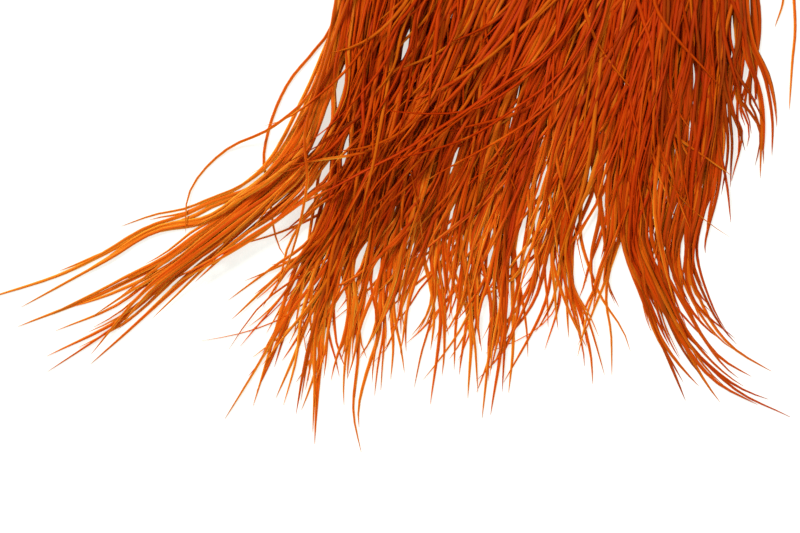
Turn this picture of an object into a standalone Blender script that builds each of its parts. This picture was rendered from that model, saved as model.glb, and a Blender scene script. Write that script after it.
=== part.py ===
# A rooster saddle hackle lying flat: a dried skin patch with rows of long slender feathers
# combed back from it. Metres, +Z up. The origin is the middle of the skin's flat underside,
# the feather tips point to -Y, and everything rests on the plane z = 0.

import math

import bmesh
import bpy
import numpy as np

MM = 0.001

# The skin patch
SKIN_HALF_WIDTH = 0.050
SKIN_HALF_LENGTH = 0.042
SKIN_FRONT_NARROWING = 0.16  # how much narrower the front end is than the middle
SKIN_SQUARENESS = 3.0  # 2 is an ellipse, more is nearer a rectangle
SKIN_SCALLOP = 0.0007  # depth of the waves in the trimmed edge
SKIN_SCALLOPS = 7  # waves round the whole edge
SKIN_SCALLOP_START = 0.6  # radians
SKIN_EDGE_THICKNESS = 0.0009
SKIN_MIDDLE_THICKNESS = 0.0018
SKIN_SEGMENTS = 36
SKIN_RINGS = (1.0, 0.86, 0.62, 0.32)  # top rings, as shares of the outline

# A lock: a bundle of feathers that runs as one body and then parts into two points
LOCK_THICKNESS = 0.0011
LOCK_ROOT_WIDTH = 0.0035
LOCK_ROOT_THICKNESS = 0.75  # of the full thickness
LOCK_ROOT_STRETCH = 0.28  # share of the body's length over which the root widens
BODY_RINGS = 15
POINT_RINGS = 5
POINT_END_SHARE = 0.22  # width and thickness left just before the very tip
EDGE_HEIGHT = 0.40  # height of the side edges, as a share of the thickness

# A single feather
FEATHER_WIDTH = 0.0026
FEATHER_THICKNESS = 0.0011
FEATHER_RINGS = 13
FEATHER_STATIONS = (0, 0.12, 0.55, 1)  # where along a feather the next line holds
FEATHER_SHARES = (0.5, 1, 0.9, 0.25)  # of its width and thickness

# How the pile lies
CLEARANCE = 0.0003  # between pieces that rest on each other
CELL = 0.0005  # size of a cell of the height map
STEEPEST = 0.36  # the most that a feather climbs or drops per unit of length
MAP_WEST, MAP_EAST = -0.220, 0.090
MAP_SOUTH, MAP_NORTH = -0.270, 0.055
SAMPLES_ALONG = 32  # from each ring to the next
SAMPLES_ACROSS = 19
CURVE_STEPS = 12  # points on a smooth curve for each point that it passes
DIRECTION_REACH = 0.3  # share of a station's spacing over which its direction is taken
LIFTING_PASSES = 200
LIFTED_ENOUGH = 1e-7
EASING_PASSES = 4
SKIN_SPOKES, SKIN_STEPS = 720, 140  # the skin's share of the height map

SHARP_ANGLE = math.radians(35)
SKIN_ROUGHNESS = 0.7
FEATHER_ROUGHNESS = 0.42
SKIN_COLOUR = (0.55, 0.26, 0.09)
LOCK_COLOURS = {
    "rear": (0.56, 0.15, 0.012),
    "second": (0.60, 0.14, 0.010),
    "middle": (0.62, 0.13, 0.008),
    "fourth": (0.60, 0.11, 0.007),
    "front": (0.64, 0.12, 0.008),
    "stray": (0.68, 0.22, 0.020),
}

# The locks, from the left of each row to its right, in millimetres in plan. Each one gives its
# width, the points that its body passes from the root to where it parts, and the way to each
# of its two tips.
REAR_ROW = [
    (6, [(-38, -32), (-60, -62), (-75, -91), (-83, -116), (-92, -139), (-106, -162), (-129, -175)],
     [(-149, -183), (-165, -191), (-182, -199), (-209, -207)], [(-146, -177), (-159, -181)]),
    (6, [(-33, -34), (-55, -66), (-72, -92), (-81, -117), (-90, -144), (-105, -165), (-127, -180)],
     [(-143, -184), (-160, -191), (-194, -209)], [(-157, -201), (-195, -216)]),
    (7, [(-28, -36), (-50, -68), (-66, -95), (-74, -125), (-79, -155), (-86, -185)],
     [(-104, -221), (-121, -249)], [(-98, -218), (-107, -240)]),
    (7, [(-23, -37), (-42, -70), (-57, -98), (-66, -128), (-75, -158), (-86, -188), (-94, -212)],
     [(-99, -230), (-103, -243)], [(-93, -233), (-93, -253)]),
    (7, [(-17, -37), (-34, -70), (-48, -98), (-60, -128), (-72, -160), (-83, -190)],
     [(-89, -222), (-91, -257)], [(-82, -210), (-80, -231)]),
    (7, [(-11, -38), (-26, -72), (-40, -102), (-52, -132), (-64, -162), (-74, -190)],
     [(-80, -214), (-84, -235)], [(-76, -220), (-79, -244), (-76, -260)]),
    (7, [(-5, -38), (-18, -72), (-31, -102), (-43, -132), (-56, -162), (-64, -190)],
     [(-69, -215), (-72, -240)], [(-62, -212), (-60, -232)]),
    (7, [(1, -38), (-10, -72), (-22, -102), (-34, -132), (-44, -162), (-50, -190)],
     [(-54, -214), (-58, -237)], [(-47, -215), (-51, -243)]),
    (7, [(7, -38), (-3, -72), (-13, -102), (-23, -132), (-33, -162), (-38, -190)],
     [(-43, -212), (-44, -231)], [(-36, -215), (-36, -241)]),
    (8, [(13, -38), (6, -72), (-3, -102), (-12, -132), (-20, -162), (-26, -192)],
     [(-30, -220), (-33, -248)], [(-24, -220), (-28, -247)]),
    (9, [(20, -37), (15, -70), (9, -102), (4, -135), (0, -165), (-4, -188)],
     [(-12, -212), (-24, -236)], [(-1, -205), (5, -225), (6, -236)]),
    (10, [(27, -36), (25, -70), (21, -102), (18, -135), (14, -165), (10, -190)],
     [(4, -208), (0, -226)], [(11, -210), (12, -233)]),
    (10, [(33, -34), (35, -70), (33, -102), (29, -135), (24, -165), (21, -190)],
     [(28, -216), (38, -242)], [(34, -216), (54, -238), (75, -248)]),
    (9, [(38, -31), (46, -68), (47, -102), (48, -135), (45, -163), (38, -189)],
     [(41, -210), (50, -225), (62, -233)], [(45, -208), (55, -222), (69, -231)]),
]
SECOND_ROW = [
    (6, [(-44, -18), (-64, -52), (-78, -85), (-83, -113), (-89, -137), (-102, -159),
         (-124, -179), (-145, -192)],
     [(-165, -202), (-184, -211)], [(-160, -207), (-182, -217)]),
    (6, [(-38, -20), (-58, -56), (-74, -88), (-80, -114), (-88, -141), (-100, -162),
         (-120, -181), (-140, -196)],
     [(-158, -213), (-185, -226)], [(-154, -203), (-168, -212)]),
    (6, [(-32, -21), (-52, -60), (-69, -92), (-77, -118), (-86, -145), (-98, -164),
         (-118, -182), (-138, -197)],
     [(-158, -214), (-185, -231)], [(-150, -215), (-171, -229)]),
    (7, [(-26, -22), (-46, -64), (-63, -95), (-73, -123), (-82, -148), (-96, -167)],
     [(-121, -187), (-148, -213)], [(-123, -184), (-150, -203), (-169, -226)]),
    (7, [(-19, -22), (-37, -64), (-53, -96), (-64, -126), (-75, -155), (-87, -180)],
     [(-104, -197), (-122, -213)], [(-98, -200), (-118, -222)]),
    (7, [(-12, -23), (-28, -64), (-43, -97), (-56, -128), (-69, -160), (-80, -188)],
     [(-90, -218), (-96, -247)], [(-84, -212), (-88, -234)]),
    (7, [(-5, -23), (-19, -65), (-33, -98), (-47, -130), (-60, -162), (-69, -190)],
     [(-77, -215), (-82, -233)], [(-70, -215), (-71, -236)]),
    (7, [(2, -23), (-9, -66), (-22, -100), (-35, -132), (-48, -162), (-56, -186)],
     [(-64, -207), (-76, -226)], [(-58, -207), (-63, -225)]),
    (7, [(9, -23), (0, -66), (-12, -100), (-24, -132), (-36, -162), (-43, -185)],
     [(-46, -205), (-44, -219)], [(-37, -208), (-34, -239)]),
    (8, [(16, -22), (10, -66), (1, -100), (-9, -132), (-19, -162), (-24, -188)],
     [(-29, -212), (-30, -233)], [(-22, -214), (-24, -239)]),
    (11, [(24, -22), (21, -66), (15, -100), (8, -134), (1, -164), (-5, -187)],
     [(-10, -203), (-20, -226)], [(0, -203), (10, -233)]),
    (12, [(32, -20), (32, -64), (29, -100), (26, -134), (22, -164), (20, -190)],
     [(27, -213), (39, -235)], [(34, -213), (48, -233), (64, -243)]),
    (10, [(40, -18), (44, -60), (44, -98), (44, -132), (40, -164), (35, -190)],
     [(36, -210), (44, -224)], [(42, -208), (56, -220)]),
]
MIDDLE_ROW = [
    (7, [(-42, -2), (-62, -40), (-74, -76), (-79, -106), (-83, -134), (-92, -156)],
     [(-112, -170), (-134, -182)], [(-106, -173), (-126, -190)]),
    (8, [(-34, -4), (-52, -44), (-66, -80), (-71, -110), (-75, -136)],
     [(-82, -158), (-90, -180)], [(-76, -160), (-79, -187)]),
    (8, [(-25, -5), (-40, -46), (-53, -82), (-61, -114), (-69, -144)],
     [(-79, -168), (-92, -189)], [(-72, -170), (-78, -196)]),
    (8, [(-16, -6), (-27, -48), (-40, -84), (-52, -116), (-64, -148)],
     [(-78, -175), (-92, -197)], [(-70, -178), (-76, -204)]),
    (8, [(-6, -6), (-14, -50), (-26, -86), (-39, -118), (-52, -150)],
     [(-65, -180), (-75, -202)], [(-58, -180), (-63, -206)]),
    (8, [(4, -6), (-2, -50), (-12, -86), (-25, -119), (-38, -150)],
     [(-50, -180), (-60, -205)], [(-42, -180), (-45, -203)]),
    (9, [(14, -6), (10, -50), (2, -87), (-10, -120), (-21, -152)],
     [(-33, -182), (-40, -208)], [(-26, -184), (-30, -212)]),
    (12, [(24, -5), (22, -50), (17, -88), (8, -121), (-2, -153)],
     [(-14, -183), (-22, -208)], [(-7, -180), (-12, -203)]),
    (13, [(33, -4), (35, -48), (33, -86), (29, -120), (25, -152)],
     [(21, -180), (23, -205)], [(28, -182), (33, -208)]),
    (9, [(41, -2), (50, -44), (56, -82), (56, -114), (54, -138)],
     [(53, -155), (53, -167)], [(60, -148), (56, -165)]),
]
FOURTH_ROW = [
    (8, [(-37, 13), (-56, -24), (-69, -60), (-75, -94), (-78, -120)],
     [(-83, -138), (-91, -153)], [(-78, -141), (-82, -159)]),
    (9, [(-27, 12), (-40, -28), (-52, -64), (-61, -98), (-68, -126)],
     [(-76, -150), (-87, -171)], [(-70, -152), (-76, -178)]),
    (9, [(-16, 11), (-25, -32), (-36, -68), (-47, -102), (-57, -132)],
     [(-69, -158), (-82, -180)], [(-62, -160), (-69, -186)]),
    (9, [(-4, 10), (-9, -34), (-19, -72), (-33, -106), (-46, -137)],
     [(-60, -163), (-76, -184)], [(-53, -166), (-62, -192)]),
    (9, [(8, 10), (6, -34), (-2, -73), (-14, -107), (-28, -139)],
     [(-42, -168), (-55, -192)], [(-35, -170), (-42, -196)]),
    (11, [(20, 11), (20, -34), (14, -74), (3, -109), (-9, -141)],
     [(-22, -170), (-33, -194)], [(-15, -172), (-21, -198)]),
    (13, [(30, 12), (33, -30), (32, -70), (27, -106), (20, -140)],
     [(12, -168), (6, -190)], [(19, -170), (18, -196)]),
    (11, [(38, 13), (47, -26), (51, -64), (51, -98), (50, -130)],
     [(44, -155), (42, -180)], [(55, -151), (52, -170)]),
]
FRONT_ROW = [
    (9, [(-28, 28), (-42, -10), (-54, -48), (-61, -80), (-66, -105)],
     [(-72, -122), (-80, -137)], [(-66, -126), (-69, -145)]),
    (9, [(-16, 30), (-25, -8), (-35, -47), (-45, -82), (-54, -110)],
     [(-64, -130), (-76, -147)], [(-58, -133), (-63, -153)]),
    (9, [(-5, 31), (-9, -8), (-17, -48), (-28, -85), (-40, -116)],
     [(-53, -139), (-67, -157)], [(-46, -142), (-53, -164)]),
    (9, [(7, 31), (6, -8), (0, -49), (-11, -87), (-25, -120)],
     [(-43, -146), (-63, -167)], [(-36, -150), (-46, -174)]),
    (12, [(18, 30), (20, -8), (17, -48), (10, -86), (-1, -121)],
     [(-15, -149), (-29, -172)], [(-8, -153), (-13, -178)]),
    (13, [(29, 28), (36, -10), (38, -48), (37, -86), (33, -118)],
     [(27, -145), (24, -170)], [(34, -147), (37, -172)]),
]
RIGHT_EDGE_LOCK = (
    5, [(42, 6), (52, -35), (56, -72), (58, -102), (60, -118)],
    [(65, -138), (65, -164)], [(66, -129), (69, -143), (69, -156)],
)
# A loose lock that lies slantwise over all the others
CROSSING_LOCK = (
    5, [(26, 22), (24, -30), (15, -80), (-3, -116), (-28, -135), (-50, -150), (-64, -159)],
    [(-81, -167), (-98, -178)], [(-71, -166), (-79, -179)],
)

# The feathers that lie apart from the locks. Those under the pile come first.
LOW_STRAYS = {
    "upper_loop_feather": [(-41, -26), (-66, -62), (-84, -108), (-91, -119), (-100, -130),
                           (-106, -143), (-109, -157), (-107, -168), (-106, -178),
                           (-104, -187), (-101, -192)],
    "short_right_stray_feather": [(44, -22), (60, -60), (70, -86), (73, -100), (70, -111)],
    "long_right_stray_feather": [(45, -8), (63, -45), (74, -82), (77, -108), (76, -124),
                                 (75, -140)],
    "gap_crossing_feather": [(-20, -30), (-46, -86), (-62, -130), (-76, -162), (-86, -174),
                             (-101, -182), (-120, -188)],
}
TOP_STRAYS = {
    "outer_loop_feather": [(-40, 3), (-62, -45), (-80, -90), (-87, -118), (-94, -135),
                           (-107, -146), (-121, -152), (-131, -161), (-136, -171),
                           (-136, -183)],
    "curved_stray_feather": [(-33, 8), (-56, -50), (-76, -95), (-87, -125), (-94, -148),
                             (-93, -164), (-95, -177), (-99, -191), (-105, -204)],
}


class Pile:
    # The height of everything laid down so far, on a grid of cells.

    def __init__(self):
        columns = int(round((MAP_EAST - MAP_WEST) / CELL))
        rows = int(round((MAP_NORTH - MAP_SOUTH) / CELL))
        self.height = np.zeros((columns, rows))

    def cells(self, points):
        column = ((points[..., 0] - MAP_WEST) / CELL).astype(int)
        row = ((points[..., 1] - MAP_SOUTH) / CELL).astype(int)
        return column, row

    def under(self, points):
        # The height of the pile below each point, looking one cell to every side.
        column, row = self.cells(points)
        found = self.height[column, row]
        for step_x, step_y in ((-1, 0), (1, 0), (0, -1), (0, 1)):
            found = np.maximum(found, self.height[column + step_x, row + step_y])
        return found

    def add(self, points, tops):
        column, row = self.cells(points)
        np.maximum.at(self.height, (column.ravel(), row.ravel()), tops.ravel())


def clear_scene():
    for thing in list(bpy.data.objects):
        bpy.data.objects.remove(thing, do_unlink=True)


def make_material(name, colour, roughness):
    material = bpy.data.materials.new(name)
    material.use_nodes = True
    shader = material.node_tree.nodes["Principled BSDF"]
    shader.inputs["Base Color"].default_value = (*colour, 1.0)
    shader.inputs["Roughness"].default_value = roughness
    shader.inputs["Metallic"].default_value = 0.0
    material.diffuse_color = (*colour, 1.0)
    return material


def add_object(name, bm, material):
    bmesh.ops.recalc_face_normals(bm, faces=bm.faces)
    mesh = bpy.data.meshes.new(name)
    bm.to_mesh(mesh)
    bm.free()
    thing = bpy.data.objects.new(name, mesh)
    bpy.context.collection.objects.link(thing)
    mesh.materials.append(material)
    mesh.shade_smooth()
    mesh.set_sharp_from_angle(angle=SHARP_ANGLE)
    return thing


def smooth_curve(points):
    # A curve that passes through every point, with its ends extended straight.
    points = np.array(points, dtype=float)
    ends = np.vstack([2 * points[0] - points[1], points, 2 * points[-1] - points[-2]])
    curve = []
    for a, b, c, d in zip(ends, ends[1:], ends[2:], ends[3:]):
        for t in np.arange(CURVE_STEPS) / CURVE_STEPS:
            curve.append(
                0.5 * (2 * b + (c - a) * t + (2 * a - 5 * b + 4 * c - d) * t * t
                       + (3 * b - a - 3 * c + d) * t ** 3)
            )
    curve.append(points[-1])
    return np.array(curve)


def even_stations(curve, count):
    # Points spaced evenly along a curve, and the direction to the curve's left at each.
    lengths = np.concatenate([[0], np.cumsum(np.linalg.norm(np.diff(curve, axis=0), axis=1))])
    wanted = np.linspace(0, lengths[-1], count)
    places = np.stack([np.interp(wanted, lengths, curve[:, k]) for k in (0, 1)], axis=1)
    reach = lengths[-1] / count * DIRECTION_REACH
    ahead = np.stack([np.interp(wanted + reach, lengths, curve[:, k]) for k in (0, 1)], axis=1)
    behind = np.stack([np.interp(wanted - reach, lengths, curve[:, k]) for k in (0, 1)], axis=1)
    way = ahead - behind
    way /= np.linalg.norm(way, axis=1, keepdims=True)
    return places, np.stack([-way[:, 1], way[:, 0]], axis=1)


class Run:
    # A stretch of rings: their middles, their side directions, half widths and thicknesses.
    # Across, the section is highest at crest, where it is also lowest underneath, and both
    # faces meet at the edges: crest is 0 for a ridge in the middle, 1 or -1 for one at a side.

    def __init__(self, middles, sides, halves, thicknesses, crest=0):
        self.middles, self.sides = middles, sides
        self.halves, self.thicknesses = halves, thicknesses
        self.low = np.zeros(len(middles))
        self.across = np.linspace(-1, 1, SAMPLES_ACROSS)
        away = np.abs(self.across - crest) / (1 + abs(crest))
        self.top_share = 1 - (1 - EDGE_HEIGHT) * away
        self.bottom_share = EDGE_HEIGHT * away

    def between(self, values):
        # Values at the rings, read in even steps from each ring to the next.
        share = np.arange(SAMPLES_ALONG + 1) / SAMPLES_ALONG
        share = share.reshape((1, -1) + (1,) * (values.ndim - 1))
        return values[:-1, None] * (1 - share) + values[1:, None] * share

    def footprint(self):
        edge = self.sides * self.halves[:, None]
        middle, half = self.between(self.middles), self.between(edge)
        return middle[:, :, None] + half[:, :, None] * self.across[:, None]

    def needed(self, pile):
        # How high each ring's lowest point has to be, at every step along the run.
        below = pile.under(self.footprint())
        keel = self.between(self.thicknesses)[:, :, None] * self.bottom_share
        clear = np.where(below > 0, below + CLEARANCE - keel, 0.0)
        return np.maximum(clear.max(axis=2), 0.0)

    def lift(self, needed):
        # Raises the rings until the straight stretches between them clear what is needed.
        share = np.arange(SAMPLES_ALONG + 1) / SAMPLES_ALONG
        for _ in range(LIFTING_PASSES):
            short = needed - self.between(self.low)
            if short.max() < LIFTED_ENOUGH:
                return
            span = int(short.max(axis=1).argmax())
            t = share[int(short[span].argmax())]
            add = short[span].max() / ((1 - t) ** 2 + t ** 2)
            self.low[span] += add * (1 - t)
            self.low[span + 1] += add * t

    def ease(self):
        # Keeps the climb from ring to ring gentle, by raising the lower of the two.
        gaps = np.linalg.norm(np.diff(self.middles, axis=0), axis=1) * STEEPEST
        for k in range(1, len(self.low)):
            self.low[k] = max(self.low[k], self.low[k - 1] - gaps[k - 1])
        for k in range(len(self.low) - 2, -1, -1):
            self.low[k] = max(self.low[k], self.low[k + 1] - gaps[k])

    def lay_on(self, pile):
        low, thick = self.between(self.low), self.between(self.thicknesses)
        pile.add(self.footprint(), low[:, :, None] + thick[:, :, None] * self.top_share)


def settle(runs, pile):
    # Lowers a body and the points that grow from its end onto the pile, still joined.
    for run in runs:
        run.lift(run.needed(pile))
    for _ in range(EASING_PASSES):
        joint = max([runs[0].low[-1]] + [run.low[0] for run in runs[1:]])
        runs[0].low[-1] = joint
        for run in runs[1:]:
            run.low[0] = joint
        for run in runs:
            run.ease()
    for run in runs:
        run.lay_on(pile)


def lofted(bm, rings):
    # Skins a list of rings of vertices, which all have the same number of corners.
    for near, far in zip(rings, rings[1:]):
        for k in range(len(near)):
            after = (k + 1) % len(near)
            bm.faces.new((near[k], near[after], far[after], far[k]))


def closed_with_tip(bm, ring, tip):
    for k in range(len(ring)):
        bm.faces.new((ring[k], ring[(k + 1) % len(ring)], tip))


def vertex(bm, place, height):
    return bm.verts.new((place[0], place[1], height))


def diamond_rings(bm, run, count):
    # The rings of a run with its ridge in the middle: left edge, top, right edge, bottom.
    rings = []
    for k in range(count):
        middle, side = run.middles[k], run.sides[k] * run.halves[k]
        low, thick = run.low[k], run.thicknesses[k]
        rings.append([
            vertex(bm, middle + side, low + thick * EDGE_HEIGHT),
            vertex(bm, middle, low + thick),
            vertex(bm, middle - side, low + thick * EDGE_HEIGHT),
            vertex(bm, middle, low),
        ])
    return rings


def wedge_rings(bm, run, outward):
    # The rings between a lock's parting and the tip: outer edge, inner top, inner bottom.
    rings = []
    for k in range(1, POINT_RINGS):
        middle, side = run.middles[k], run.sides[k] * run.halves[k] * outward
        low, thick = run.low[k], run.thicknesses[k]
        rings.append([
            vertex(bm, middle + side, low + thick * EDGE_HEIGHT),
            vertex(bm, middle - side, low + thick),
            vertex(bm, middle - side, low),
        ])
    return rings


def tip_of(bm, run):
    return vertex(bm, run.middles[-1], run.low[-1] + run.thicknesses[-1] * EDGE_HEIGHT)


def body_run(points, width):
    curve = smooth_curve(np.array(points) * MM)
    middles, sides = even_stations(curve, BODY_RINGS)
    along = np.linspace(0, 1, BODY_RINGS)
    open_share = np.clip(along / LOCK_ROOT_STRETCH, 0, 1)
    root_share = LOCK_ROOT_WIDTH / (width * MM)
    widths = width * MM * (root_share + (1 - root_share) * open_share)
    thicknesses = LOCK_THICKNESS * (LOCK_ROOT_THICKNESS + (1 - LOCK_ROOT_THICKNESS) * open_share)
    return Run(middles, sides, widths / 2, thicknesses)


def point_run(body, way, side):
    # One of the two points that a lock ends in, from the lock's last ring to the tip.
    start = body.middles[-1] + side * body.sides[-1] * body.halves[-1] / 2
    back = body.middles[-2] + side * body.sides[-2] * body.halves[-2] / 2
    curve = smooth_curve(np.vstack([[back, start], np.array(way) * MM]))
    middles, sides = even_stations(curve[CURVE_STEPS:], POINT_RINGS + 1)
    share = np.linspace(1, POINT_END_SHARE, POINT_RINGS + 1)
    halves, thicknesses = body.halves[-1] / 2 * share, body.thicknesses[-1] * share
    return Run(middles, sides, halves, thicknesses, crest=-side)


def make_lock(name, width, points, way_a, way_b, pile, material):
    body = body_run(points, width)
    to_a, to_b = (np.array(way[0]) * MM - body.middles[-1] for way in (way_a, way_b))
    if to_b[0] * to_a[1] < to_b[1] * to_a[0]:  # a lies to the right of b
        way_a, way_b = way_b, way_a
    left, right = point_run(body, way_a, 1), point_run(body, way_b, -1)
    settle([body, left, right], pile)

    bm = bmesh.new()
    rings = diamond_rings(bm, body, BODY_RINGS)
    lofted(bm, rings)
    bm.faces.new(rings[0][::-1])
    outer_left, top, outer_right, bottom = rings[-1]
    for run, outward, outer in ((left, 1, outer_left), (right, -1, outer_right)):
        point_rings = [[outer, top, bottom]] + wedge_rings(bm, run, outward)
        lofted(bm, point_rings)
        closed_with_tip(bm, point_rings[-1], tip_of(bm, run))
    return add_object(name, bm, material)


def make_feather(name, points, pile, material):
    middles, sides = even_stations(smooth_curve(np.array(points) * MM), FEATHER_RINGS)
    along = np.linspace(0, 1, FEATHER_RINGS)
    share = np.interp(along, FEATHER_STATIONS, FEATHER_SHARES)
    run = Run(middles, sides, FEATHER_WIDTH / 2 * share, FEATHER_THICKNESS * share)
    settle([run], pile)

    bm = bmesh.new()
    rings = diamond_rings(bm, run, FEATHER_RINGS - 1)
    lofted(bm, rings)
    bm.faces.new(rings[0][::-1])
    closed_with_tip(bm, rings[-1], tip_of(bm, run))
    return add_object(name, bm, material)


def skin_edge(angle):
    # The trimmed outline: between an ellipse and a rectangle, narrower to the front.
    power = 2 / SKIN_SQUARENESS
    across = math.copysign(abs(math.cos(angle)) ** power, math.cos(angle)) * SKIN_HALF_WIDTH
    along = math.copysign(abs(math.sin(angle)) ** power, math.sin(angle)) * SKIN_HALF_LENGTH
    across *= 1 - SKIN_FRONT_NARROWING * max(0, along / SKIN_HALF_LENGTH)
    wave = math.sin(SKIN_SCALLOPS * angle + SKIN_SCALLOP_START)
    swell = 1 + SKIN_SCALLOP / SKIN_HALF_LENGTH * wave
    return across * swell, along * swell


def make_skin(pile, material):
    angles = [2 * math.pi * k / SKIN_SEGMENTS for k in range(SKIN_SEGMENTS)]
    outline = np.array([skin_edge(angle) for angle in angles])
    bm = bmesh.new()
    rings = [[vertex(bm, place, 0) for place in outline]]
    for share in SKIN_RINGS:
        rise = (SKIN_MIDDLE_THICKNESS - SKIN_EDGE_THICKNESS) * (1 - share ** 2)
        height = SKIN_EDGE_THICKNESS + rise
        rings.append([vertex(bm, place * share, height) for place in outline])
    lofted(bm, rings)
    bm.faces.new(rings[0][::-1])
    closed_with_tip(bm, rings[-1], vertex(bm, (0, 0), SKIN_MIDDLE_THICKNESS))

    spokes = np.linspace(0, 2 * math.pi, SKIN_SPOKES)
    edge = np.array([skin_edge(angle) for angle in spokes])
    area = edge[:, None] * np.linspace(0, 1, SKIN_STEPS)[:, None]
    pile.add(area, np.full(area.shape[:-1], SKIN_MIDDLE_THICKNESS))
    return add_object("skin_patch", bm, material)


def make_row(row_name, locks, pile, material):
    # Every other lock goes down first, and the ones between them lie on their edges.
    order = list(range(0, len(locks), 2)) + list(range(1, len(locks), 2))
    for k in order:
        make_lock(f"{row_name}_lock_{k + 1:02d}", *locks[k], pile, material)


def main():
    clear_scene()
    paint = {
        name: make_material(f"{name}_feathers", colour, FEATHER_ROUGHNESS)
        for name, colour in LOCK_COLOURS.items()
    }
    pile = Pile()
    make_skin(pile, make_material("dried_skin", SKIN_COLOUR, SKIN_ROUGHNESS))
    for name, points in LOW_STRAYS.items():
        make_feather(name, points, pile, paint["stray"])
    make_row("rear_row", REAR_ROW, pile, paint["rear"])
    make_row("second_row", SECOND_ROW, pile, paint["second"])
    make_row("middle_row", MIDDLE_ROW, pile, paint["middle"])
    make_lock("right_edge_lock", *RIGHT_EDGE_LOCK, pile, paint["stray"])
    make_row("fourth_row", FOURTH_ROW, pile, paint["fourth"])
    make_row("front_row", FRONT_ROW, pile, paint["front"])
    make_lock("crossing_lock", *CROSSING_LOCK, pile, paint["stray"])
    for name, points in TOP_STRAYS.items():
        make_feather(name, points, pile, paint["stray"])


main()
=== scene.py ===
# The looks of a dyed rooster saddle hackle, lying flat with its feathers combed back.
# Every lock solid of the frame is replaced by the feathers that lie in its place.

import math

import bpy
import numpy as np
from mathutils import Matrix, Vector
from mathutils.bvhtree import BVHTree


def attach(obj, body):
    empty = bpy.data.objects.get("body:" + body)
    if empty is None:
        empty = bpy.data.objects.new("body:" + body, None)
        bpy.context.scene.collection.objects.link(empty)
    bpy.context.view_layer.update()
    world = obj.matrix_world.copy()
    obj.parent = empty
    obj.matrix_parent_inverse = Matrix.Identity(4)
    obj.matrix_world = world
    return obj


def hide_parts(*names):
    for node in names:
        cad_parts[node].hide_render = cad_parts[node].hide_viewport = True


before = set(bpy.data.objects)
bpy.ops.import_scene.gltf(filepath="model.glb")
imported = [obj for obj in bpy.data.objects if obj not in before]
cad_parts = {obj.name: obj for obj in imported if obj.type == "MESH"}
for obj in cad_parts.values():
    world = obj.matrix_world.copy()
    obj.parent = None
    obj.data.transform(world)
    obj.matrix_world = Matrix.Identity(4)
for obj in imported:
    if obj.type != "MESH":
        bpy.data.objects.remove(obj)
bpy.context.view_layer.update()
mm = 0.001

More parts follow.
